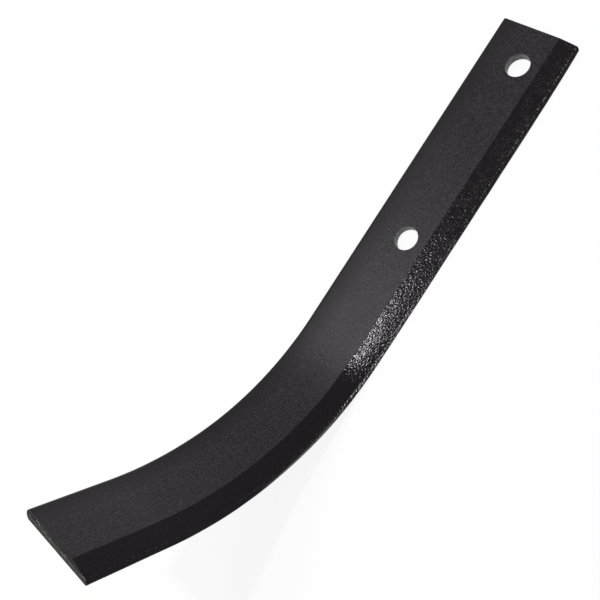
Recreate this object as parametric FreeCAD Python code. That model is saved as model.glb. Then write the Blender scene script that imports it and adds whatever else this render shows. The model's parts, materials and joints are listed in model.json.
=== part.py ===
import FreeCAD, Part
import math
import os

# Rotary tiller blade: one flat steel bar, bolted down through two holes in its straight shank
# and swept up flatwise towards its tip. One long edge is bevelled to cut, the other is full round.
#
# +X runs along the shank towards the tip, +Y points to the cutting edge and +Z is up.
# The origin lies midway between the two bolt holes, on the flat underside that seats on the rotor.

# Bar section: the bevel falls from the top face to a blunt cutting edge that leans back a little
bar_width = 40.0
bar_thickness = 4.5
bevel_width = 9.8
edge_height = 2.4
edge_lean = 1.4
edge_round = 0.6
bevel_line_round = 0.5

# Bolt holes, on the middle line of the bar
hole_diameter = 11.0
hole_spacing = 90.0
hole_end_distance = 18.0
hole_rim_round = 0.4

# Sweep of the blade, with both radii measured to the underside
hole_to_bend = 51.0
bend_radius = 110.0
bend_angle = 40.0
easing_radius = 132.0
easing_angle = 20.0
tip_length = 36.0

# Ends, each cropped in a shear that stands a little out of square
shank_skew = 2.0
tip_skew = 1.1
shank_corner_radius = 1.2
sheared_edge_round = 0.3

# Worked out from the sizes above
shank_end_x = -(hole_spacing / 2 + hole_end_distance)
bend_start_x = hole_spacing / 2 + hole_to_bend
back_radius = bar_thickness / 2
back_y = -bar_width / 2
edge_y = bar_width / 2
tip_angle = bend_angle + easing_angle
crop_allowance = bar_width * math.tan(math.radians(max(shank_skew, tip_skew))) + bar_thickness
shank_end_foot = FreeCAD.Vector(shank_end_x, 0, 0)
LENGTHWISE = FreeCAD.Vector(1, 0, 0)
UP = FreeCAD.Vector(0, 0, 1)
SWEEP_AXIS = FreeCAD.Vector(0, -1, 0)
SAME_PLACE = 1e-4


def rounded_corner(before, corner, after, radius):
    """Return the arc of the given radius that is tangent to both legs of a corner."""
    leg_in = (before - corner).normalize()
    leg_out = (after - corner).normalize()
    half_angle = leg_in.getAngle(leg_out) / 2
    to_centre = (leg_in + leg_out).normalize()
    start = corner + leg_in * (radius / math.tan(half_angle))
    middle = corner + to_centre * (radius / math.sin(half_angle) - radius)
    end = corner + leg_out * (radius / math.tan(half_angle))
    return Part.Arc(start, middle, end)


def bar_section():
    """Return the bar's section as a face in the YZ plane, with its underside on Z = 0."""
    # The low corner overhangs the bar's true width by what its rounding takes off.
    edge_slope = math.atan2(edge_height, edge_lean)
    overhang = edge_round * (1 / math.tan(edge_slope / 2) - 1)
    edge_low = FreeCAD.Vector(0, edge_y + overhang, 0)
    edge_high = edge_low + FreeCAD.Vector(0, -edge_lean, edge_height)
    bevel_line = FreeCAD.Vector(0, edge_y - bevel_width, bar_thickness)
    back_high = FreeCAD.Vector(0, back_y + back_radius, bar_thickness)
    back_middle = FreeCAD.Vector(0, back_y, back_radius)
    back_low = FreeCAD.Vector(0, back_y + back_radius, 0)

    low_curve = rounded_corner(back_low, edge_low, edge_high, edge_round)
    high_curve = rounded_corner(edge_low, edge_high, bevel_line, edge_round)
    bevel_curve = rounded_corner(edge_high, bevel_line, back_high, bevel_line_round)
    curves = [
        Part.LineSegment(back_low, low_curve.StartPoint),
        low_curve,
        Part.LineSegment(low_curve.EndPoint, high_curve.StartPoint),
        high_curve,
        Part.LineSegment(high_curve.EndPoint, bevel_curve.StartPoint),
        bevel_curve,
        Part.LineSegment(bevel_curve.EndPoint, back_high),
        Part.Arc(back_high, back_middle, back_low),
    ]
    outline = Part.Wire([curve.toShape() for curve in curves])
    return Part.Face(outline)


def turned_up(direction, angle):
    """Return a direction of the flat bar as it is where the bar has turned up by angle."""
    return FreeCAD.Rotation(SWEEP_AXIS, angle).multVec(direction)


def crop_heading(angle, skew):
    """Return the way a crop out of square by skew faces, where the bar has turned up by angle."""
    return turned_up(FreeCAD.Rotation(UP, -skew).multVec(LENGTHWISE), angle)


def section_at(foot, angle):
    """Return the bar's section with its underside at foot, turned up by angle in degrees."""
    section = bar_section()
    section.Placement = FreeCAD.Placement(foot, FreeCAD.Rotation(SWEEP_AXIS, angle))
    return section


def straight_run(foot, angle, length):
    """Return a straight length of bar and the foot of its far end."""
    step = turned_up(LENGTHWISE, angle) * length
    return section_at(foot, angle).extrude(step), foot + step


def bent_run(foot, angle, radius, turn):
    """Return a length of bar bent flatwise by turn and the foot of its far end."""
    centre = foot + turned_up(UP, angle) * radius
    run = section_at(foot, angle).revolve(centre, SWEEP_AXIS, turn)
    return run, centre - turned_up(UP, angle + turn) * radius


def swept_bar():
    """Return the uncropped bar, and where its tip will end on the underside."""
    start_foot = FreeCAD.Vector(shank_end_x - crop_allowance, 0, 0)
    shank, bend_foot = straight_run(start_foot, 0, bend_start_x - start_foot.x)
    bend, easing_foot = bent_run(bend_foot, 0, bend_radius, bend_angle)
    easing, tip_foot = bent_run(easing_foot, bend_angle, easing_radius, easing_angle)
    tip, stock_foot = straight_run(tip_foot, tip_angle, tip_length + crop_allowance)
    bar = shank.fuse([bend, easing, tip]).removeSplitter()
    return bar, stock_foot - turned_up(LENGTHWISE, tip_angle) * crop_allowance


def offcut(foot, angle, skew, side):
    """Return the waste beyond a crop at foot, past the tip for side 1 or the shank for -1."""
    length = 2 * crop_allowance
    block = Part.makeBox(
        length,
        2 * bar_width,
        3 * bar_thickness,
        FreeCAD.Vector(0 if side > 0 else -length, -bar_width, -bar_thickness),
    )
    sweep = FreeCAD.Rotation(SWEEP_AXIS, angle)
    block.Placement = FreeCAD.Placement(foot, sweep * FreeCAD.Rotation(UP, -skew))
    return block


def shank_corner_waste():
    """Return what is taken off the shank's corner beside the cutting edge."""
    end_line = UP.cross(crop_heading(0, shank_skew))
    corner = shank_end_foot + end_line * (edge_y / end_line.y)
    along_edge = corner + LENGTHWISE * bar_width
    along_end = corner - end_line * bar_width
    curve = rounded_corner(along_end, corner, along_edge, shank_corner_radius)
    legs = [Part.makeLine(curve.EndPoint, corner), Part.makeLine(corner, curve.StartPoint)]
    outline = Part.Wire([curve.toShape()] + legs)
    return Part.Face(outline).extrude(UP * bar_thickness)


def bolt_holes():
    """Return the two round holes that go through the shank."""
    half_pitch = hole_spacing / 2
    return [
        Part.makeCylinder(hole_diameter / 2, bar_thickness, FreeCAD.Vector(x, 0, 0))
        for x in (-half_pitch, half_pitch)
    ]


def is_hole_rim(edge):
    """Say whether an edge is one of the round rims of the bolt holes."""
    is_round = isinstance(edge.Curve, Part.Circle)
    return is_round and abs(edge.Curve.Radius - hole_diameter / 2) < SAME_PLACE


def lies_in_plane(edge, point, normal):
    """Say whether an edge lies in the plane through point with the given normal."""
    samples = edge.discretize(3)
    return all(abs((sample - point).dot(normal)) < SAME_PLACE for sample in samples)


bar, tip_end_foot = swept_bar()
shank_offcut = offcut(shank_end_foot, 0, shank_skew, -1)
tip_offcut = offcut(tip_end_foot, tip_angle, tip_skew, 1)
blade = bar.cut([shank_offcut, tip_offcut])
sheared_edges = [
    edge
    for edge in blade.Edges
    if lies_in_plane(edge, shank_end_foot, crop_heading(0, shank_skew))
    or lies_in_plane(edge, tip_end_foot, crop_heading(tip_angle, tip_skew))
]
blade = blade.makeFillet(sheared_edge_round, sheared_edges)
blade = blade.cut([shank_corner_waste()] + bolt_holes())
blade = blade.makeFillet(hole_rim_round, [edge for edge in blade.Edges if is_hole_rim(edge)])

os.makedirs("parts", exist_ok=True)
blade.exportStep("parts/tiller_blade.step")
print("tiller_blade", "valid" if blade.isValid() else "NOT VALID", round(blade.Volume, 1), "mm3")
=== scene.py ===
# %% [markdown]
# # A rotary tiller blade
#
# The part is one length of flat steel bar. A straight shank with two bolt holes goes to the
# rotor, and the rest is swept up flatwise to a cropped tip. One long edge is bevelled to cut
# and the other is full round. The whole blade is sprayed satin black.
#
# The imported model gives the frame: where the blade lies and how large it is. Its box is kept
# here, so that the finished piece can be measured against it at the end.

# %% Load the frame
import json
import math

import bpy
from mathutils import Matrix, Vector


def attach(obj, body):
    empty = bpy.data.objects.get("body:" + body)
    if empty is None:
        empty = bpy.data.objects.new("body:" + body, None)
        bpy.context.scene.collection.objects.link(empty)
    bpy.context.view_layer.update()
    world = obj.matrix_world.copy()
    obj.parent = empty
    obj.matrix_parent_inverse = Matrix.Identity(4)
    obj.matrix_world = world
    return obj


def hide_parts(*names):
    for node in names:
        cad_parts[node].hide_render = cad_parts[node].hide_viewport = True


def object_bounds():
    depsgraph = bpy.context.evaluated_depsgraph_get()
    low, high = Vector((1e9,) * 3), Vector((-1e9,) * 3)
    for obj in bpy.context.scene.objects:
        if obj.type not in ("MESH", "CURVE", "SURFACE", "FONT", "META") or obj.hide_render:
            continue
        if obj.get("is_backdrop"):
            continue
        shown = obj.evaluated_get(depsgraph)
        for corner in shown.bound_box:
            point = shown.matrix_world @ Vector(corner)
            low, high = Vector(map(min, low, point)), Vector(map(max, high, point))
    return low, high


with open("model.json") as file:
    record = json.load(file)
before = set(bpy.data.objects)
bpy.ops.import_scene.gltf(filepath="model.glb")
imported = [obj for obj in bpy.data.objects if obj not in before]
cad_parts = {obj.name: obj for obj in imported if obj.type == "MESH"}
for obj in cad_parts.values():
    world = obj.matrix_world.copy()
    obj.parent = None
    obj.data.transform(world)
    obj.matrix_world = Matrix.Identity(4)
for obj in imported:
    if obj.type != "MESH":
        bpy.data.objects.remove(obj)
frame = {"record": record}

cad_low, cad_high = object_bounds()
print("solids from", [round(c, 4) for c in cad_low], "to", [round(c, 4) for c in cad_high])

# %% [markdown]
# ## The blade's sizes
#
# Blender works in metres, so the sizes are written in millimetres and turned into metres
# once. The hole positions come from the bolt mount in the record, and the rest is set off
# from them, so the new piece lies exactly where the solid does.

# %% Name the sizes
MM = 0.001
SAME_PLACE = 0.01 * MM
CUT_THRESHOLD = 0.001 * MM
bolts = next(m for m in frame["record"]["mounts"] if m["name"] == "bolt_holes")
hole_spacing = bolts["dims"]["spacing_x_mm"] * MM
hole_radius = bolts["dims"]["hole_r_mm"] * MM

hole_end_distance = 18.0 * MM
hole_to_bend = 51.0 * MM
bar_width = 40.0 * MM
bar_thickness = 4.5 * MM
bevel_width = 9.8 * MM
edge_height = 2.4 * MM
edge_lean = 1.4 * MM
edge_round = 0.6 * MM
shank_end_x = -(hole_spacing / 2 + hole_end_distance)
bend_start_x = hole_spacing / 2 + hole_to_bend
bend_radius = 110.0 * MM
bend_angle = math.radians(40)
easing_radius = 132.0 * MM
easing_angle = math.radians(20)
tip_length = 36.0 * MM
shank_skew = math.radians(2)
tip_skew = math.radians(1.1)
crop_allowance = 4.5 * MM
stock_start_x = shank_end_x - crop_allowance
edge_y = bar_width / 2
bevel_line_y = edge_y - bevel_width
print("shank", round((bend_start_x - shank_end_x) / MM, 1), "mm, holes", hole_radius / MM)

# %% [markdown]
# ## The section of the bar
#
# A steelworks rolls this shape, so every slice of the blade is the same. It is drawn once
# and then swept. A plane stands up as the section's face. Two cuts with Bisect take off what
# a grinder would: first the long bevel, then the lean of the blunt edge. Rounding corners
# with Bevel in its vertex mode gives the full round back and the soft cutting edge.

# %% Helpers for selecting by place
def past(place, foot, direction):
    """How far a place lies beyond a plane."""
    return (place - foot).dot(direction)


def deselect_all():
    """Leave nothing selected, in object mode."""
    bpy.ops.object.select_all(action="DESELECT")


def select_vertices(mesh_object, test):
    """In edit mode, select exactly the vertices whose place passes the test."""
    bpy.ops.mesh.select_mode(type="VERT")
    bpy.ops.mesh.select_all(action="DESELECT")
    bpy.ops.object.mode_set(mode="OBJECT")
    for vertex in mesh_object.data.vertices:
        vertex.select = bool(test(vertex.co))
    bpy.ops.object.mode_set(mode="EDIT")


# %% Cut the section out of a plane
BEVEL_CROWN = 0.13 * MM
deselect_all()
edge_slope = math.atan2(edge_height, edge_lean)
overhang = edge_round * (1 / math.tan(edge_slope / 2) - 1)
section_width = bar_width + overhang
bpy.ops.mesh.primitive_plane_add(
    size=1.0,
    location=(stock_start_x, overhang / 2, bar_thickness / 2),
    rotation=(0, math.radians(90), 0),
)
blade = bpy.context.object
blade.name = "painted_blade"
blade.data.name = "painted_blade"
blade.scale = (bar_thickness, section_width, 1)
bpy.ops.object.transform_apply(location=True, rotation=True, scale=True)

edge_low = Vector((stock_start_x, edge_y + overhang, 0))
edge_high = edge_low + Vector((0, -edge_lean, edge_height))
bevel_line = Vector((stock_start_x, bevel_line_y, bar_thickness))
bevel_run = bevel_line - edge_high
crown = Vector((0, -bevel_run.z, bevel_run.y)).normalized() * -BEVEL_CROWN
crown_points = [edge_high + bevel_run * share + crown for share in (1 / 3, 2 / 3)]
outline = [edge_low, edge_high, *crown_points, bevel_line]
bpy.ops.object.mode_set(mode="EDIT")
for start, end in zip(outline, outline[1:]):
    along = end - start
    outward = Vector((0, along.z, -along.y)).normalized()
    bpy.ops.mesh.select_all(action="SELECT")
    bpy.ops.mesh.bisect(
        plane_co=start, plane_no=outward, clear_outer=True, threshold=CUT_THRESHOLD
    )
bpy.ops.object.mode_set(mode="OBJECT")
print("section corners", [[round(c / MM, 2) for c in v.co.yz] for v in blade.data.vertices])


# %% Round its back and its cutting edge
def round_corners(mesh_object, corners, radius, segments):
    """Round the section's corners at the given places with an arc of the given radius."""
    for corner in corners:
        select_vertices(mesh_object, lambda place: (place - corner).length < SAME_PLACE)
        outline = mesh_object.data
        neighbours = [
            outline.vertices[other].co
            for edge in outline.edges
            for here, other in (edge.vertices, reversed(edge.vertices))
            if (outline.vertices[here].co - corner).length < SAME_PLACE
        ]
        legs = [(place - corner).normalized() for place in neighbours]
        tangent_length = radius / math.tan(legs[0].angle(legs[1]) / 2)
        bpy.ops.mesh.bevel(
            offset_type="OFFSET",
            offset=tangent_length,
            segments=segments,
            affect="VERTICES",
            clamp_overlap=False,
        )


BEVEL_LINE_ROUND = 2.0 * MM
BACK_SEGMENTS = 8
EDGE_SEGMENTS = 4
LINE_SEGMENTS = 2
back_corners = [Vector((stock_start_x, -bar_width / 2, z)) for z in (0, bar_thickness)]
bpy.ops.object.mode_set(mode="EDIT")
round_corners(blade, back_corners, bar_thickness / 2, BACK_SEGMENTS)
round_corners(blade, [edge_low, edge_high], edge_round, EDGE_SEGMENTS)
round_corners(blade, [bevel_line], BEVEL_LINE_ROUND, LINE_SEGMENTS)
bpy.ops.mesh.select_all(action="SELECT")
bpy.ops.mesh.remove_doubles(threshold=SAME_PLACE)
bpy.ops.object.mode_set(mode="OBJECT")
print("section outline has", len(blade.data.vertices), "points")
print("width", round(blade.dimensions.y / MM, 2), "thickness", round(blade.dimensions.z / MM, 2))

# %% [markdown]
# ## Sweeping the bar
#
# The bar leaves the rolls straight and is pressed into its sweep in two dies, a tighter one
# and then an easier one. Extrude follows the straight runs and Spin turns the same section
# about each die's centre, so the thickness stays the same round the bend. Steps of about
# three millimetres keep the curve smooth and give points to shape later.

# %% Extrude the straight runs and spin the bends
STEP = 3.0 * MM


def run_straight(direction, length):
    """Carry the selected section along a straight run."""
    steps = round(length / STEP)
    for step in range(steps):
        bpy.ops.mesh.extrude_region_move(
            TRANSFORM_OT_translate={"value": Vector(direction) * (length / steps)}
        )


def bend_upwards(centre, radius, angle):
    """Turn the selected section upwards about a die's centre."""
    bpy.ops.mesh.spin(
        steps=round(radius * angle / STEP), angle=-angle, center=centre, axis=(0, -1, 0)
    )


def sweep_direction(angle):
    """Which way the bar points where it has turned up by the given angle."""
    return Vector((math.cos(angle), 0, math.sin(angle)))


def towards_inside(angle):
    """Which way the wide face looks where the bar has turned up by the given angle."""
    return Vector((-math.sin(angle), 0, math.cos(angle)))


bend_centre = Vector((bend_start_x, 0, bend_radius))
bend_end = bend_centre - bend_radius * towards_inside(bend_angle)
easing_centre = bend_end + easing_radius * towards_inside(bend_angle)
tip_angle = bend_angle + easing_angle
tip_start = easing_centre - easing_radius * towards_inside(tip_angle)
tip_end = tip_start + tip_length * sweep_direction(tip_angle)

bpy.ops.object.mode_set(mode="EDIT")
bpy.ops.mesh.select_all(action="SELECT")
run_straight((1, 0, 0), bend_start_x - stock_start_x)
bend_upwards(bend_centre, bend_radius, bend_angle)
bend_upwards(easing_centre, easing_radius, easing_angle)
run_straight(sweep_direction(tip_angle), tip_length + crop_allowance)
bpy.ops.mesh.select_all(action="SELECT")
bpy.ops.mesh.remove_doubles(threshold=SAME_PLACE / 2)
bpy.ops.mesh.normals_make_consistent(inside=False)
bpy.ops.object.mode_set(mode="OBJECT")
print("swept bar:", len(blade.data.polygons), "faces, reaches x", round(tip_end.x / MM, 1))

# %% [markdown]
# ## The hand in the edges
#
# The bevel is ground on by a wheel before bending, so its top line and the cutting edge
# wander by a tenth of a millimetre or two. Ruler-straight lines would look like a drawing.
# Only the points on those lines are put in a vertex group, and a Displace modifier with a
# soft clouds texture moves them sideways. Moving along Y keeps the wide face flat.

# %% Let the ground lines wander
def wander(mesh_object, name, test, amount, patch_size, direction):
    """Move the points that pass the test softly along one direction, and keep the result."""
    deselect_all()
    mesh_object.select_set(True)
    bpy.context.view_layer.objects.active = mesh_object
    bpy.ops.object.mode_set(mode="EDIT")
    select_vertices(mesh_object, test)
    bpy.ops.object.vertex_group_add()
    bpy.ops.object.vertex_group_assign()
    bpy.ops.object.mode_set(mode="OBJECT")
    mesh_object.vertex_groups.active.name = name
    clouds = bpy.data.textures.new(name, type="CLOUDS")
    clouds.noise_scale = patch_size
    clouds.noise_depth = 2
    bpy.ops.object.modifier_add(type="DISPLACE")
    displace = mesh_object.modifiers[-1]
    displace.texture = clouds
    displace.texture_coords = "LOCAL"
    displace.vertex_group = name
    displace.direction = direction
    displace.mid_level = 0.5
    displace.strength = 2 * amount
    moved = sum(bool(test(vertex.co)) for vertex in mesh_object.data.vertices)
    bpy.ops.object.modifier_apply(modifier=displace.name)
    mesh_object.vertex_groups.remove(mesh_object.vertex_groups[name])
    bpy.data.textures.remove(clouds)
    print(name, "moved", moved, "points")


LINE_WANDER, LINE_WAVE, LINE_REACH = 0.35 * MM, 22 * MM, 0.6 * MM
EDGE_WANDER, EDGE_WAVE, EDGE_REACH = 0.25 * MM, 30 * MM, 1.5 * MM
wander(
    blade, "bevel_line", lambda place: abs(place.y - bevel_line_y) < LINE_REACH,
    LINE_WANDER, LINE_WAVE, "Y",
)
wander(
    blade, "cutting_edge", lambda place: place.y > edge_y - EDGE_REACH,
    EDGE_WANDER, EDGE_WAVE, "Y",
)

# %% [markdown]
# ## The cropped ends and the dressed corner
#
# The bar was swept a little too long, as it comes from the rack. A shear crops each end, and
# both cuts lean the same way, by a degree or two. Bisect with its fill turned on is that
# shear. At the shank the wheel has also taken the cutting edge back by nearly a millimetre at
# the corner, which Resize with proportional editing does about the bevel's top line, with
# everything else hidden. The shear has dragged that corner out a little, and it is dressed
# round by bisects at equal turns, as a file would.

# %% Crop both ends
shank_end = Vector((shank_end_x, 0, 0))
shank_outward = Vector((-math.cos(shank_skew), math.sin(shank_skew), 0))
tip_outward = math.cos(tip_skew) * sweep_direction(tip_angle) - Vector((0, math.sin(tip_skew), 0))
deselect_all()
blade.select_set(True)
bpy.context.view_layer.objects.active = blade
bpy.ops.object.mode_set(mode="EDIT")
for foot, outward in ((shank_end, shank_outward), (tip_end, tip_outward)):
    bpy.ops.mesh.select_all(action="SELECT")
    bpy.ops.mesh.bisect(
        plane_co=foot, plane_no=outward, clear_outer=True, use_fill=True,
        threshold=CUT_THRESHOLD,
    )
bpy.ops.object.mode_set(mode="OBJECT")
print("cropped to", [round(side / MM, 1) for side in blade.dimensions], "mm")

# %% Take the cutting edge back towards the corner
TAKEN_BACK = 0.9 * MM
TAKEN_BACK_REACH = 38 * MM
DRAGGED_OUT = 0.35 * MM
DRAGGED_REACH = 6 * MM
BESIDE_LINE = 1.0 * MM
BESIDE_EDGE = 3.0 * MM


def at_shank_end(low_y):
    """A test for points of the shank's end face beyond a place across the bar."""
    return lambda place: past(place, shank_end, shank_outward) > -0.1 * MM and place.y > low_y


bpy.ops.object.mode_set(mode="EDIT")
select_vertices(blade, lambda place: place.y > bevel_line_y + BESIDE_LINE)
bpy.ops.mesh.hide(unselected=True)
select_vertices(blade, at_shank_end(bevel_line_y + BESIDE_LINE))
bpy.ops.transform.resize(
    value=(1, 1 - TAKEN_BACK / bevel_width, 1),
    center_override=(shank_end_x, bevel_line_y, 0),
    use_proportional_edit=True,
    proportional_edit_falloff="SHARP",
    proportional_size=TAKEN_BACK_REACH,
)
select_vertices(blade, at_shank_end(edge_y - BESIDE_EDGE))
bpy.ops.transform.translate(
    value=shank_outward * DRAGGED_OUT,
    use_proportional_edit=True,
    proportional_edit_falloff="SHARP",
    proportional_size=DRAGGED_REACH,
)
bpy.ops.mesh.reveal(select=False)
bpy.ops.object.mode_set(mode="OBJECT")
print("cutting edge at the corner is at y", round(max(
    v.co.y for v in blade.data.vertices if v.co.x < shank_end_x + 2 * MM
) / MM, 2))

# %% Dress the shank corner round
CORNER_RADIUS = 0.8 * MM
CORNER_FACETS = 5
corner_y = edge_y - TAKEN_BACK
corner_x = shank_end_x + corner_y * math.tan(shank_skew) - DRAGGED_OUT
corner_centre = Vector((corner_x + CORNER_RADIUS, corner_y - CORNER_RADIUS, 0))
bpy.ops.object.mode_set(mode="EDIT")
for facet in range(CORNER_FACETS):
    turn = math.radians(90) * (facet + 0.5) / CORNER_FACETS
    outward = Vector((-math.cos(turn), math.sin(turn), 0))
    bpy.ops.mesh.select_all(action="SELECT")
    bpy.ops.mesh.bisect(
        plane_co=corner_centre + CORNER_RADIUS * outward,
        plane_no=outward,
        clear_outer=True,
        use_fill=True,
        threshold=CUT_THRESHOLD,
    )
bpy.ops.object.mode_set(mode="OBJECT")
print("after the corner:", len(blade.data.polygons), "faces")

# %% Ease the rims of both sheared ends
ARRIS = 0.3 * MM
ARRIS_SEGMENTS = 3
SHARP_ANGLE = math.radians(40)
bpy.ops.object.mode_set(mode="EDIT")
bpy.ops.mesh.select_mode(type="EDGE")
bpy.ops.mesh.select_all(action="DESELECT")
bpy.ops.mesh.edges_select_sharp(sharpness=SHARP_ANGLE)
bpy.ops.object.mode_set(mode="OBJECT")
points = blade.data.vertices
for edge in blade.data.edges:
    at_an_end = all(
        past(points[corner].co, shank_end, shank_outward) > -CORNER_RADIUS - ARRIS
        or past(points[corner].co, tip_end, tip_outward) > -SAME_PLACE
        for corner in edge.vertices
    )
    edge.select = edge.select and at_an_end
rim_edges = sum(edge.select for edge in blade.data.edges)
bpy.ops.object.mode_set(mode="EDIT")
bpy.ops.mesh.bevel(
    offset=ARRIS, segments=ARRIS_SEGMENTS, affect="EDGES", clamp_overlap=True
)
bpy.ops.object.mode_set(mode="OBJECT")
print("eased", rim_edges, "rim edges;", len(blade.data.polygons), "faces")

# %% [markdown]
# ## The bolt holes
#
# The two holes are punched through and their rims are softened by the paint. A cylinder with
# flared ends has exactly the shape of the air in such a hole, so a Boolean with it cuts the
# wall and the rounded rims at once. The wall is torn a little by the punch: rings of points
# along it are pushed in and out before the cut. The cutter is made once and copied.

# %% Shape the air of one bolt hole
HOLE_RIM = 0.4 * MM
HOLE_SIDES = 64
FLARE_STEPS = 4
FLARE_OVERRUN = 1.0 * MM
WALL_RINGS = 7
first_hole = Vector((-hole_spacing / 2, 0, 0))
wall_length = bar_thickness - 2 * HOLE_RIM
deselect_all()
bpy.ops.mesh.primitive_cylinder_add(
    vertices=HOLE_SIDES,
    radius=hole_radius,
    depth=wall_length,
    location=first_hole + Vector((0, 0, bar_thickness / 2)),
)
hole_cutter = bpy.context.object
hole_cutter.name = "bolt_hole_cutter"
bpy.ops.object.transform_apply(location=True, rotation=True, scale=True)
bpy.ops.object.mode_set(mode="EDIT")
for side, wall_end_z in ((1, bar_thickness - HOLE_RIM), (-1, HOLE_RIM)):
    flare_radius, flare_z = hole_radius, wall_end_z
    select_vertices(hole_cutter, lambda place: abs(place.z - wall_end_z) < SAME_PLACE)
    for step in range(1, FLARE_STEPS + 2):
        turn = math.radians(90) * min(step, FLARE_STEPS) / FLARE_STEPS
        wider = hole_radius + HOLE_RIM * (1 - math.cos(turn))
        further_z = wall_end_z + side * HOLE_RIM * math.sin(turn)
        if step > FLARE_STEPS:
            further_z += side * FLARE_OVERRUN
        bpy.ops.mesh.extrude_region_move(
            TRANSFORM_OT_translate={"value": (0, 0, further_z - flare_z)}
        )
        bpy.ops.transform.resize(
            value=(wider / flare_radius, wider / flare_radius, 1),
            center_override=first_hole,
        )
        flare_radius, flare_z = wider, further_z
bpy.ops.mesh.select_mode(type="EDGE")
bpy.ops.mesh.select_all(action="DESELECT")
bpy.ops.object.mode_set(mode="OBJECT")
points = hole_cutter.data.vertices
for edge in hole_cutter.data.edges:
    low, high = (points[corner].co for corner in edge.vertices)
    edge.select = abs(abs(high.z - low.z) - wall_length) < SAME_PLACE
bpy.ops.object.mode_set(mode="EDIT")
bpy.ops.mesh.subdivide(number_cuts=WALL_RINGS)
bpy.ops.mesh.select_all(action="SELECT")
bpy.ops.mesh.normals_make_consistent(inside=False)
bpy.ops.object.mode_set(mode="OBJECT")
print("hole cutter:", [round(side / MM, 2) for side in hole_cutter.dimensions])

# %% Punch both holes
WALL_TEAR, WALL_TEAR_SIZE = 0.14 * MM, 1.6 * MM
bpy.ops.object.duplicate()
second_cutter = bpy.context.object
second_cutter.location.x = hole_spacing
bpy.ops.object.transform_apply(location=True, rotation=False, scale=False)
for cutter in (hole_cutter, second_cutter):
    wander(
        cutter, "punched_wall",
        lambda place: HOLE_RIM < place.z < bar_thickness - HOLE_RIM,
        WALL_TEAR, WALL_TEAR_SIZE, "NORMAL",
    )
    deselect_all()
    blade.select_set(True)
    bpy.context.view_layer.objects.active = blade
    bpy.ops.object.modifier_add(type="BOOLEAN")
    punch = blade.modifiers[-1]
    punch.operation = "DIFFERENCE"
    punch.solver = "EXACT"
    punch.object = cutter
    bpy.ops.object.modifier_apply(modifier=punch.name)
    bpy.data.objects.remove(cutter)
    print("punched:", len(blade.data.polygons), "faces")

# %% [markdown]
# ## The torn face of a sheared end
#
# A shear cuts the first part of the thickness clean and tears the rest, which leaves a
# ragged ridge along the end. The tip's flat end face is cut into small patches by bisects,
# in rows through the thickness and in columns across the width. Then the ridge row is
# pushed out, and all the patches are roughened. The shank's end stays plain: its corner was
# drawn out of the flat, so the same cuts divide its rim and leave the face whole.

# %% Cut the end faces into patches
def divide_end(foot, outward, upward, heights, spacing):
    """Cut one flat end into rows at the given heights and columns at a spacing."""
    rows = [(foot + upward * height, upward) for height in heights]
    half_count = math.floor(edge_y / spacing)
    columns = [
        (foot + Vector((0, spacing * column, 0)), Vector((0, 1, 0)))
        for column in range(-half_count, half_count + 1)
    ]
    for place, normal in rows + columns:
        select_vertices(blade, lambda point: abs(past(point, foot, outward)) < SAME_PLACE / 2)
        bpy.ops.mesh.bisect(plane_co=place, plane_no=normal, threshold=CUT_THRESHOLD)


ROW_HEIGHTS = [share * bar_thickness for share in (0.2, 0.38, 0.56, 0.74, 0.86)]
COLUMN_SPACING = 0.8 * MM
shank_upward = towards_inside(0)
tip_upward = towards_inside(tip_angle)
bpy.ops.object.mode_set(mode="EDIT")
divide_end(shank_end, shank_outward, shank_upward, ROW_HEIGHTS, COLUMN_SPACING)
divide_end(tip_end, tip_outward, tip_upward, ROW_HEIGHTS, COLUMN_SPACING)
bpy.ops.object.mode_set(mode="OBJECT")
print("with patched ends:", len(blade.data.polygons), "faces")

# %% Push the ridge out and roughen the tear
RIDGE_HEIGHT = ROW_HEIGHTS[2]
RIDGE_STANDS_OUT = 0.18 * MM
END_TEAR, END_TEAR_SIZE = 0.22 * MM, 1.8 * MM
BACK_MARGIN = 0.5 * MM
EDGE_MARGIN = 1.8 * MM
RIM_MARGIN = 0.35 * MM


def inside_end(foot, outward, upward, low, high):
    """A test for points of an end face, off its rim, between two heights."""
    return lambda place: (
        past(place, foot, outward) > -2 * SAME_PLACE
        and low <= past(place, foot, upward) <= high
        and BACK_MARGIN - edge_y < place.y < edge_y - EDGE_MARGIN
    )


ends = (
    ("shank_tear", shank_end, shank_outward, shank_upward),
    ("tip_tear", tip_end, tip_outward, tip_upward),
)
for name, foot, outward, upward in ends:
    ridge = inside_end(
        foot, outward, upward, RIDGE_HEIGHT - 5 * SAME_PLACE, RIDGE_HEIGHT + 5 * SAME_PLACE
    )
    bpy.context.view_layer.objects.active = blade
    bpy.ops.object.mode_set(mode="EDIT")
    select_vertices(blade, ridge)
    bpy.ops.transform.translate(value=outward * RIDGE_STANDS_OUT)
    bpy.ops.object.mode_set(mode="OBJECT")
    wander(
        blade, name,
        inside_end(foot, outward, upward, RIM_MARGIN, bar_thickness - RIM_MARGIN),
        END_TEAR, END_TEAR_SIZE, "NORMAL",
    )

# %% Close and smooth the finished mesh
SMOOTH_ANGLE = math.radians(28)
bpy.ops.object.mode_set(mode="EDIT")
bpy.ops.mesh.select_all(action="SELECT")
bpy.ops.mesh.remove_doubles(threshold=CUT_THRESHOLD)
bpy.ops.mesh.normals_make_consistent(inside=False)
bpy.ops.object.mode_set(mode="OBJECT")
deselect_all()
blade.select_set(True)
bpy.ops.object.shade_smooth_by_angle(angle=SMOOTH_ANGLE)
bpy.ops.object.modifier_add(type="WEIGHTED_NORMAL")
blade.modifiers[-1].keep_sharp = True
bpy.ops.object.modifier_apply(modifier=blade.modifiers[-1].name)
print("finished blade:", len(blade.data.polygons), "faces")

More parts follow.
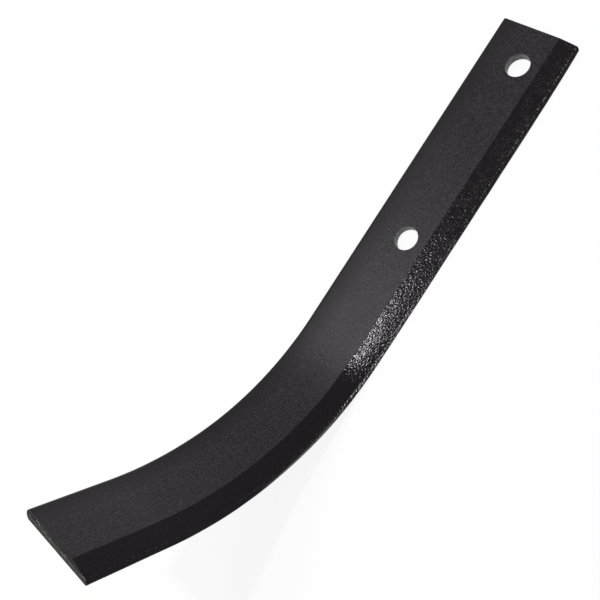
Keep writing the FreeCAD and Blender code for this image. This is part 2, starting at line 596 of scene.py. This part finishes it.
# %% [markdown]
# ## The black paint
#
# The blade is sprayed in one satin black. The colour hardly changes, and the grain, the
# gloss and the small relief do the work: a fine grain makes the face soft, and broad faint
# patches keep it from looking like plastic. The grain shows as lighter specks, and these fade
# out towards the back edge as painted shade, so the back strip of the face is painted darker.
# The paint is also rougher towards the back, and duller still round it. Everything is worked
# out from Object coordinates, so the grain sits still on the steel.

# %% Helpers for building a finish
def new_finish(name):
    """An empty node material with its shader, its output and its place in the object."""
    finish = bpy.data.materials.new(name)
    finish.use_nodes = True
    place = finish.node_tree.nodes.new("ShaderNodeTexCoord")
    return finish, finish.node_tree.nodes["Principled BSDF"], place.outputs["Object"]


def add_node(finish, kind, inputs=None, **settings):
    """Add a node, set its options, and set or connect its inputs."""
    made = finish.node_tree.nodes.new(kind)
    for name, value in settings.items():
        setattr(made, name, value)
    for name, value in (inputs or {}).items():
        if isinstance(value, bpy.types.NodeSocket):
            finish.node_tree.links.new(value, made.inputs[name])
        else:
            made.inputs[name].default_value = value
    return made


def speckle(finish, place, size, detail=3.0, roughness=0.6):
    """Soft noise with patches of about the given size in metres."""
    return add_node(
        finish, "ShaderNodeTexNoise",
        {"Vector": place, "Scale": 1 / size, "Detail": detail, "Roughness": roughness},
    ).outputs["Fac"]


def spread(finish, value, low, high, to_low, to_high):
    """Stretch a value from one range to another and hold it there."""
    return add_node(
        finish, "ShaderNodeMapRange",
        {"Value": value, "From Min": low, "From Max": high, "To Min": to_low, "To Max": to_high},
    ).outputs["Result"]


def calculate(finish, operation, *values):
    """Work out one value from others."""
    return add_node(
        finish, "ShaderNodeMath", dict(enumerate(values)), operation=operation
    ).outputs["Value"]


def mix_colours(finish, share, first, second):
    """Go from the first colour to the second as the share rises."""
    mix = add_node(finish, "ShaderNodeMix", data_type="RGBA")
    for socket, value in ((mix.inputs[0], share), (mix.inputs[6], first), (mix.inputs[7], second)):
        if isinstance(value, bpy.types.NodeSocket):
            finish.node_tree.links.new(value, socket)
        else:
            socket.default_value = value
    return mix.outputs[2]


def relief(finish, height, depth, under=None):
    """Bump of the given depth in metres, over another bump if there is one."""
    inputs = {"Height": height, "Distance": depth, "Strength": 1.0}
    if under is not None:
        inputs["Normal"] = under
    return add_node(finish, "ShaderNodeBump", inputs).outputs["Normal"]


def connect(finish, value, socket):
    """Join a value to one of the shader's inputs."""
    finish.node_tree.links.new(value, socket)


# %% Satin black on the faces
GRAIN = 0.7 * MM
GRAIN_DEPTH = 0.08 * MM
PATCH = 22 * MM
PEEL = 3.5 * MM
PEEL_DEPTH = 0.05 * MM
VIOLET_TINT = (1.0, 0.94, 1.0, 1)
face_paint, shader, place = new_finish("satin_black_paint")
grain = speckle(face_paint, place, GRAIN, roughness=0.7)
patches = speckle(face_paint, place, PATCH)
tone = mix_colours(
    face_paint, spread(face_paint, patches, 0.35, 0.65, 0, 1),
    (0.0016, 0.0010, 0.0016, 1), (0.0040, 0.0032, 0.0040, 1),
)
across = add_node(face_paint, "ShaderNodeSeparateXYZ", {"Vector": place}).outputs["Y"]
# Painted shade: the light grain specks fade out towards the back edge, so the back of the face is
# painted darker.
painted_back_shade_fade = spread(face_paint, across, -0.45 * bar_width, -0.2 * bar_width, 0.0, 1)
specks = calculate(
    face_paint, "MULTIPLY", spread(face_paint, grain, 0.42, 0.66, 0, 1), painted_back_shade_fade
)
connect(
    face_paint, mix_colours(face_paint, specks, tone, (0.039, 0.036, 0.039, 1)),
    shader.inputs["Base Color"],
)
duller_back = spread(face_paint, across, -0.5 * bar_width, -0.2 * bar_width, 0.14, 0)
roughness = calculate(
    face_paint, "ADD", spread(face_paint, patches, 0.3, 0.7, 0.28, 0.33), duller_back
)
connect(face_paint, roughness, shader.inputs["Roughness"])
shader.inputs["Specular IOR Level"].default_value = 0.20
shader.inputs["Specular Tint"].default_value = VIOLET_TINT
peel = relief(face_paint, speckle(face_paint, place, PEEL), PEEL_DEPTH)
connect(face_paint, relief(face_paint, grain, GRAIN_DEPTH, under=peel), shader.inputs["Normal"])
print("made", face_paint.name)

# %% The same black, drier and duller round the back
back_paint, shader, place = new_finish("dull_back_paint")
shader.inputs["Base Color"].default_value = (0.0028, 0.0022, 0.0028, 1)
shader.inputs["Roughness"].default_value = 0.5
shader.inputs["Specular IOR Level"].default_value = 0.06
connect(
    back_paint, relief(back_paint, speckle(back_paint, place, GRAIN), GRAIN_DEPTH),
    shader.inputs["Normal"],
)
print("made", back_paint.name)

# %% [markdown]
# ## The ground bevel
#
# The wheel leaves the bevel rough, and the paint lies thin and glossy over that grit, so it
# glitters where a lamp catches it. The grit is a noise used as the height of a bump, drawn
# out a little along the bar as the wheel ran. With a low roughness its slopes break one
# lamp into many points of light. The grit is coarser along the shank and finer past the
# start of the bend. Along the shank, light specks are mixed into the colour towards the
# cutting edge: they are dust, and they are also painted glints. One function mixes this
# black, because two more finishes start from it.

# %% Thin black over the ground bevel
GRIT = 0.8 * MM
GRIT_DEPTH = 0.12 * MM
NIB = 0.45 * MM
NIB_CLUSTER = 5 * MM
WHEEL_MARK = 4 * MM
WHEEL_MARK_DEPTH = 0.05 * MM
DUST_AND_PAINTED_GLINT = (0.12, 0.115, 0.11, 1)


def ground_black(name):
    """Thin glossy black over grinding grit, with light specks along the shank that are dust and
    painted glints.
    """
    finish, shader, place = new_finish(name)
    axes = add_node(finish, "ShaderNodeSeparateXYZ", {"Vector": place}).outputs
    along_wheel = add_node(finish, "ShaderNodeMapping", {"Vector": place, "Scale": (0.75, 1, 1)})
    grit = speckle(finish, along_wheel.outputs["Vector"], GRIT, detail=1.5, roughness=0.5)
    tone = mix_colours(
        finish, spread(finish, grit, 0.4, 0.6, 0, 1),
        (0.0028, 0.0020, 0.0028, 1), (0.0060, 0.0048, 0.0060, 1),
    )
    # Painted glints: light specks mixed in along the shank towards the cutting edge stand for dust
    # and for glints of the lamps.
    dust_and_glint_reach = calculate(
        finish, "MULTIPLY",
        spread(finish, axes["X"], bend_start_x - 60 * MM, bend_start_x, 1, 0),
        spread(finish, axes["Y"], bevel_line_y, edge_y - 3 * MM, 0.35, 1),
    )
    dust_and_glint_nibs = calculate(
        finish, "MULTIPLY",
        spread(finish, speckle(finish, place, NIB, detail=2.0), 0.57, 0.67, 0, 1),
        spread(finish, speckle(finish, place, NIB_CLUSTER), 0.4, 0.6, 0.15, 1),
    )
    colour = mix_colours(finish, calculate(finish, "MULTIPLY", dust_and_glint_nibs, dust_and_glint_reach), tone, DUST_AND_PAINTED_GLINT)
    shader.inputs["Roughness"].default_value = 0.11
    shader.inputs["Specular IOR Level"].default_value = 0.12
    shader.inputs["Specular Tint"].default_value = VIOLET_TINT
    wheel_marks = relief(finish, speckle(finish, place, WHEEL_MARK), WHEEL_MARK_DEPTH)
    coarser = spread(finish, axes["X"], bend_start_x - 50 * MM, bend_start_x - 10 * MM, 1.5, 1)
    finer = spread(finish, axes["X"], bend_start_x + 8 * MM, bend_start_x + 22 * MM, 1, 0.5)
    height = calculate(
        finish, "MULTIPLY", grit, calculate(finish, "MULTIPLY", coarser, finer)
    )
    connect(finish, relief(finish, height, GRIT_DEPTH, under=wheel_marks), shader.inputs["Normal"])
    return finish, shader, place, axes, colour


bevel_paint, shader, _, _, colour = ground_black("ground_bevel_paint")
connect(bevel_paint, colour, shader.inputs["Base Color"])
print("made", bevel_paint.name)

# %% [markdown]
# ## Chips and wear along the edge
# The top corner of the cutting edge has taken knocks and lost flecks of paint along the
# shank. The low corner carries painted reflection: a light grey line where the bend sticks
# out most, standing for the white floor reflected in its rounded corner.
# Each is the bevel's black with one more colour mixed in through a mask, so the gloss and
# the grit stay the same across the join.

# %% The same black, chipped along the top corner of the edge
CHIP_SIZE = 0.8 * MM
CHIP = (0.22, 0.21, 0.18, 1)
chipped_paint, shader, place, axes, colour = ground_black("chipped_corner_paint")
flecks = speckle(chipped_paint, place, CHIP_SIZE, detail=2.0)
chipped = calculate(
    chipped_paint, "MULTIPLY",
    spread(chipped_paint, flecks, 0.54, 0.62, 0, 1),
    spread(chipped_paint, axes["X"], 0.0, bend_start_x, 1, 0.15),
)
connect(
    chipped_paint, mix_colours(chipped_paint, chipped, colour, CHIP),
    shader.inputs["Base Color"],
)
print("made", chipped_paint.name)

# %% Painted reflection of the floor along the low corner of the edge
REFLECTION_PATCH_SIZE = 3.0 * MM
# Painted reflection: a light grey on the low corner past the start of the bend, for the white
# floor reflected in the rounded corner.
PAINTED_REFLECTION_GREY = (0.105, 0.10, 0.095, 1)
painted_reflection_paint, shader, place, axes, colour = ground_black("painted_reflection_corner_paint")
start = spread(painted_reflection_paint, axes["X"], bend_start_x + 20 * MM, bend_start_x + 38 * MM, 0, 1)
stop = spread(painted_reflection_paint, axes["X"], bend_start_x + 56 * MM, bend_start_x + 72 * MM, 1, 0)
low_part = spread(painted_reflection_paint, axes["Y"], edge_y - 0.5 * MM, edge_y - 0.3 * MM, 0, 1)
reflection_patches = spread(painted_reflection_paint, speckle(painted_reflection_paint, place, REFLECTION_PATCH_SIZE), 0.3, 0.45, 0.3, 1)
painted_reflection = calculate(
    painted_reflection_paint, "MULTIPLY",
    calculate(painted_reflection_paint, "MULTIPLY", start, stop),
    calculate(painted_reflection_paint, "MULTIPLY", low_part, reflection_patches),
)
connect(
    painted_reflection_paint, mix_colours(painted_reflection_paint, painted_reflection, colour, PAINTED_REFLECTION_GREY),
    shader.inputs["Base Color"],
)
print("made", painted_reflection_paint.name)

# %% [markdown]
# ## Paint over torn steel
#
# The torn walls of the holes are grey, and streaked the way the punch went, which a noise
# drawn out along Z gives. The grey is partly thin paint and partly a painted reflection of the
# white floor in the walls. The tip's sheared end is black in its clean upper part and dull olive
# where it tore, with the steel bare here and there on the ridge between. The ridge isn't
# straight, so it is found as the places whose height above the underside comes near a soft
# noise. The shank's end is black all over.

# %% Thin paint and painted reflection on the punched hole walls
WALL_STREAK = 0.8 * MM
TORN_DEPTH = 0.12 * MM
wall_paint, shader, place = new_finish("punched_wall_paint")
streaks = add_node(wall_paint, "ShaderNodeMapping", {"Vector": place, "Scale": (1, 1, 0.25)})
tear = speckle(wall_paint, streaks.outputs["Vector"], WALL_STREAK)
# Partly painted reflection: the lighter grey stands for thin paint and for the white floor
# reflected in the walls.
connect(
    wall_paint,
    mix_colours(
        wall_paint, spread(wall_paint, tear, 0.35, 0.65, 0, 1),
        (0.045, 0.043, 0.047, 1), (0.16, 0.155, 0.165, 1),
    ),
    shader.inputs["Base Color"],
)
shader.inputs["Roughness"].default_value = 0.4
connect(wall_paint, relief(wall_paint, tear, TORN_DEPTH), shader.inputs["Normal"])
print("made", wall_paint.name)

# %% Black over the sheared ends
RUBBLE = 0.7 * MM
RIDGE_WAVE = 2.5 * MM
BARE_SPOT = 2.2 * MM
BARE_STEEL = (0.42, 0.42, 0.42, 1)
end_paint, shader, place = new_finish("sheared_end_paint")
rubble = speckle(end_paint, place, RUBBLE, detail=4.0)
above_tip = add_node(
    end_paint, "ShaderNodeVectorMath", {0: place, 1: tip_upward}, operation="DOT_PRODUCT"
).outputs["Value"]
share_up = spread(
    end_paint, above_tip, tip_end.dot(tip_upward), tip_end.dot(tip_upward) + bar_thickness, 0, 1
)
torn_tone = mix_colours(
    end_paint, spread(end_paint, rubble, 0.4, 0.65, 0, 1),
    (0.006, 0.007, 0.004, 1), (0.024, 0.026, 0.014, 1),
)
clean_tone = (0.003, 0.003, 0.003, 1)
tone = mix_colours(
    end_paint, spread(end_paint, share_up, 0.45, 0.6, 0, 1), torn_tone, clean_tone
)
across = add_node(end_paint, "ShaderNodeSeparateXYZ", {"Vector": place}).outputs["Y"]
ridge_rise = spread(end_paint, across, -0.5 * bar_width, -0.2 * bar_width, 0.45, 0)
wobble = spread(end_paint, speckle(end_paint, place, RIDGE_WAVE), 0.3, 0.7, 0.4, 0.64)
over_ridge = calculate(end_paint, "SUBTRACT", share_up, wobble)
over_ridge = calculate(end_paint, "SUBTRACT", over_ridge, ridge_rise)
from_ridge = calculate(end_paint, "ABSOLUTE", over_ridge)
bare = calculate(
    end_paint, "MULTIPLY",
    spread(end_paint, from_ridge, 0.02, 0.07, 1, 0),
    spread(end_paint, speckle(end_paint, place, BARE_SPOT), 0.45, 0.65, 0.02, 0.7),
)
connect(end_paint, mix_colours(end_paint, bare, tone, BARE_STEEL), shader.inputs["Base Color"])
connect(end_paint, bare, shader.inputs["Metallic"])
shader.inputs["Specular IOR Level"].default_value = 0.12
shader.inputs["Roughness"].default_value = 0.32
connect(end_paint, relief(end_paint, rubble, TORN_DEPTH), shader.inputs["Normal"])
print("made", end_paint.name)

# %% [markdown]
# ## Which finish goes where
#
# Each face takes one finish, chosen by where the face lies and which way it looks, as a
# painter would mask it. One mesh with several material slots stays one piece.

# %% Put each finish on its faces
for finish in (
    face_paint, back_paint, bevel_paint, chipped_paint, painted_reflection_paint, wall_paint, end_paint
):
    blade.data.materials.append(finish)

FACE, BACK, BEVEL, CHIPPED, PAINTED_REFLECTION, WALL, END = range(7)
RIM_REACH = 0.2 * MM
END_REACH = 0.25 * MM
EDGE_BAND = 3 * MM
LINE_BAND = 0.3 * MM
WALL_LEAN = 0.7
SIDEWAYS = 0.3
HARDLY_SIDEWAYS = 0.08
LAND_LEAN = math.sin(edge_slope) - 0.03
hole_centres = [Vector((side * hole_spacing / 2, 0, 0)) for side in (-1, 1)]


def finish_of(face):
    """Which finish a face has, from where it is and which way it looks."""
    centre, normal = face.center, face.normal
    at_hole = any((centre - hole).xy.length < hole_radius + RIM_REACH for hole in hole_centres)
    if at_hole and abs(normal.z) < WALL_LEAN:
        return WALL
    if past(centre, tip_end, tip_outward) > -END_REACH:
        return END
    if past(centre, shank_end, shank_outward) > -END_REACH:
        return END
    if normal.y < -SIDEWAYS:
        return BACK
    if centre.y > edge_y - EDGE_BAND and normal.y > HARDLY_SIDEWAYS:
        if SIDEWAYS < normal.y < LAND_LEAN and normal.dot(tip_upward) > 0:
            return CHIPPED
        if normal.y > SIDEWAYS or normal.dot(tip_upward) < 0:
            return PAINTED_REFLECTION
    if centre.y > bevel_line_y - LINE_BAND and normal.y > HARDLY_SIDEWAYS:
        return BEVEL
    return FACE


for face in blade.data.polygons:
    face.material_index = finish_of(face)
for index, finish in enumerate(blade.data.materials):
    count = sum(face.material_index == index for face in blade.data.polygons)
    print(finish.name, "on", count, "faces")

# %% [markdown]
# ## Joining the frame
#
# The painted blade stands for the CAD solid and moves with its only body. The solid stays
# in the physics model, and it isn't drawn.

# %% Hand the blade to the frame
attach(blade, "root")
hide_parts("tiller_blade")
print("the blade rides on root")

# %% [markdown]
# ## Studio
#
# The blade lies on a white sheet with white all round. The floor and the surroundings show
# as white to the camera and in the steel's reflections, and light the blade only at a plain
# level. A small share of the floor is ordinary diffuse white, which keeps a faint shadow.

# %% Tell the rays apart
def seen_directly(tree):
    """1 for rays from the camera, a reflection or a transmission, otherwise 0."""
    path = tree.nodes.new("ShaderNodeLightPath")
    total = path.outputs["Is Camera Ray"]
    for name in ("Is Glossy Ray", "Is Transmission Ray"):
        either = tree.nodes.new("ShaderNodeMath")
        either.operation = "MAXIMUM"
        tree.links.new(total, either.inputs[0])
        tree.links.new(path.outputs[name], either.inputs[1])
        total = either.outputs["Value"]
    return total


# %% Lay the floor
deselect_all()
bpy.ops.mesh.primitive_plane_add(size=6.0, location=(0, 0, cad_low.z - 0.05 * MM))
floor = bpy.context.object
floor.name = "studio_floor"
floor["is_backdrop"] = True
floor_paper = bpy.data.materials.new("white_paper")
floor_paper.use_nodes = True
nodes = floor_paper.node_tree.nodes
links = floor_paper.node_tree.links
nodes.remove(nodes["Principled BSDF"])
paper = nodes.new("ShaderNodeBsdfDiffuse")
paper.inputs["Color"].default_value = (0.8, 0.8, 0.8, 1)
shown = nodes.new("ShaderNodeBsdfDiffuse")
shown.inputs["Color"].default_value = (0.14, 0.14, 0.14, 1)
glow = nodes.new("ShaderNodeEmission")
glow.inputs["Strength"].default_value = 0.88
together = nodes.new("ShaderNodeAddShader")
links.new(shown.outputs[0], together.inputs[0])
links.new(glow.outputs[0], together.inputs[1])
choice = nodes.new("ShaderNodeMixShader")
links.new(seen_directly(floor_paper.node_tree), choice.inputs[0])
links.new(paper.outputs[0], choice.inputs[1])
links.new(together.outputs[0], choice.inputs[2])
links.new(choice.outputs[0], nodes["Material Output"].inputs["Surface"])
floor.data.materials.append(floor_paper)
print("floor at", round(floor.location.z / MM, 3), "mm")

# %% Surround it with white
MATT_SURFACES_GET = 0.4
world = bpy.data.worlds.new("white_studio")
bpy.context.scene.world = world
world.use_nodes = True
nodes = world.node_tree.nodes
links = world.node_tree.links
background = nodes["Background"]
background.inputs["Color"].default_value = (1, 1, 1, 1)
fill = nodes.new("ShaderNodeMapRange")
fill.inputs["To Min"].default_value = MATT_SURFACES_GET
fill.inputs["To Max"].default_value = 1.0
links.new(seen_directly(world.node_tree), fill.inputs["Value"])
links.new(fill.outputs["Result"], background.inputs["Strength"])
print("white all round")

# %% [markdown]
# ## Lamps
#
# Three small lamps stand a metre away. One hangs over the start of the bend and makes the
# grit on the bevel glitter. A longer one behind it gives the soft broad shine on the face.
# The third is level with the cutting edge and shines along the floor at it. Small lamps are
# what this needs, because a large one would blur the glitter into a haze. Each row gives a
# lamp's place, its turn about X, its width, length and power.

# %% Hang the lamps
for name, x, y, z, turn, width, length, power in (
    ("overhead_lamp", 0.085, -0.10, 1.0, 0, 0.04, 0.07, 3.2),
    ("back_softbox", 0.075, -0.55, 1.0, 0, 0.07, 0.30, 2.1),
    ("front_lamp", 0.06, 1.0, 0.02, -90, 0.10, 0.05, 2.4),
):
    bpy.ops.object.light_add(
        type="AREA", location=(x, y, z), rotation=(math.radians(turn), 0, 0)
    )
    softbox = bpy.context.object
    softbox.name = name
    softbox.data.shape = "RECTANGLE"
    softbox.data.size = width
    softbox.data.size_y = length
    softbox.data.energy = power
    print(name, "of", power, "watts")

# %% [markdown]
# ## Camera
#
# The camera looks down on the shank and the inside of the sweep from beyond the cutting
# edge, so that the bevel and the tip's end both show. It is turned until the blade runs from
# corner to corner.

# %% Set up the camera
bpy.ops.object.camera_add(
    location=(94.934 * MM, 192.231 * MM, 336.014 * MM),
    rotation=[math.radians(turn) for turn in (20.1704, 27.5932, 127.8426)],
)
camera = bpy.context.object
camera.data.sensor_width = 36.0
camera.data.lens = 52.617
camera.data.clip_start = 0.01
bpy.context.scene.camera = camera
bpy.context.scene.view_settings.view_transform = "Standard"
print("camera with a", camera.data.lens, "mm lens")

# %% [markdown]
# ## Measure and finish
#
# The size of what was made is printed beside the size of the solids, to compare them.

# %% Print both sizes
made_low, made_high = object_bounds()
sizes = {
    "cad": [list(cad_low), list(cad_high)],
    "made": [list(made_low), list(made_high)],
}
for name, (low, high) in sizes.items():
    print(name, "from", [round(c / MM, 2) for c in low], "to", [round(c / MM, 2) for c in high])
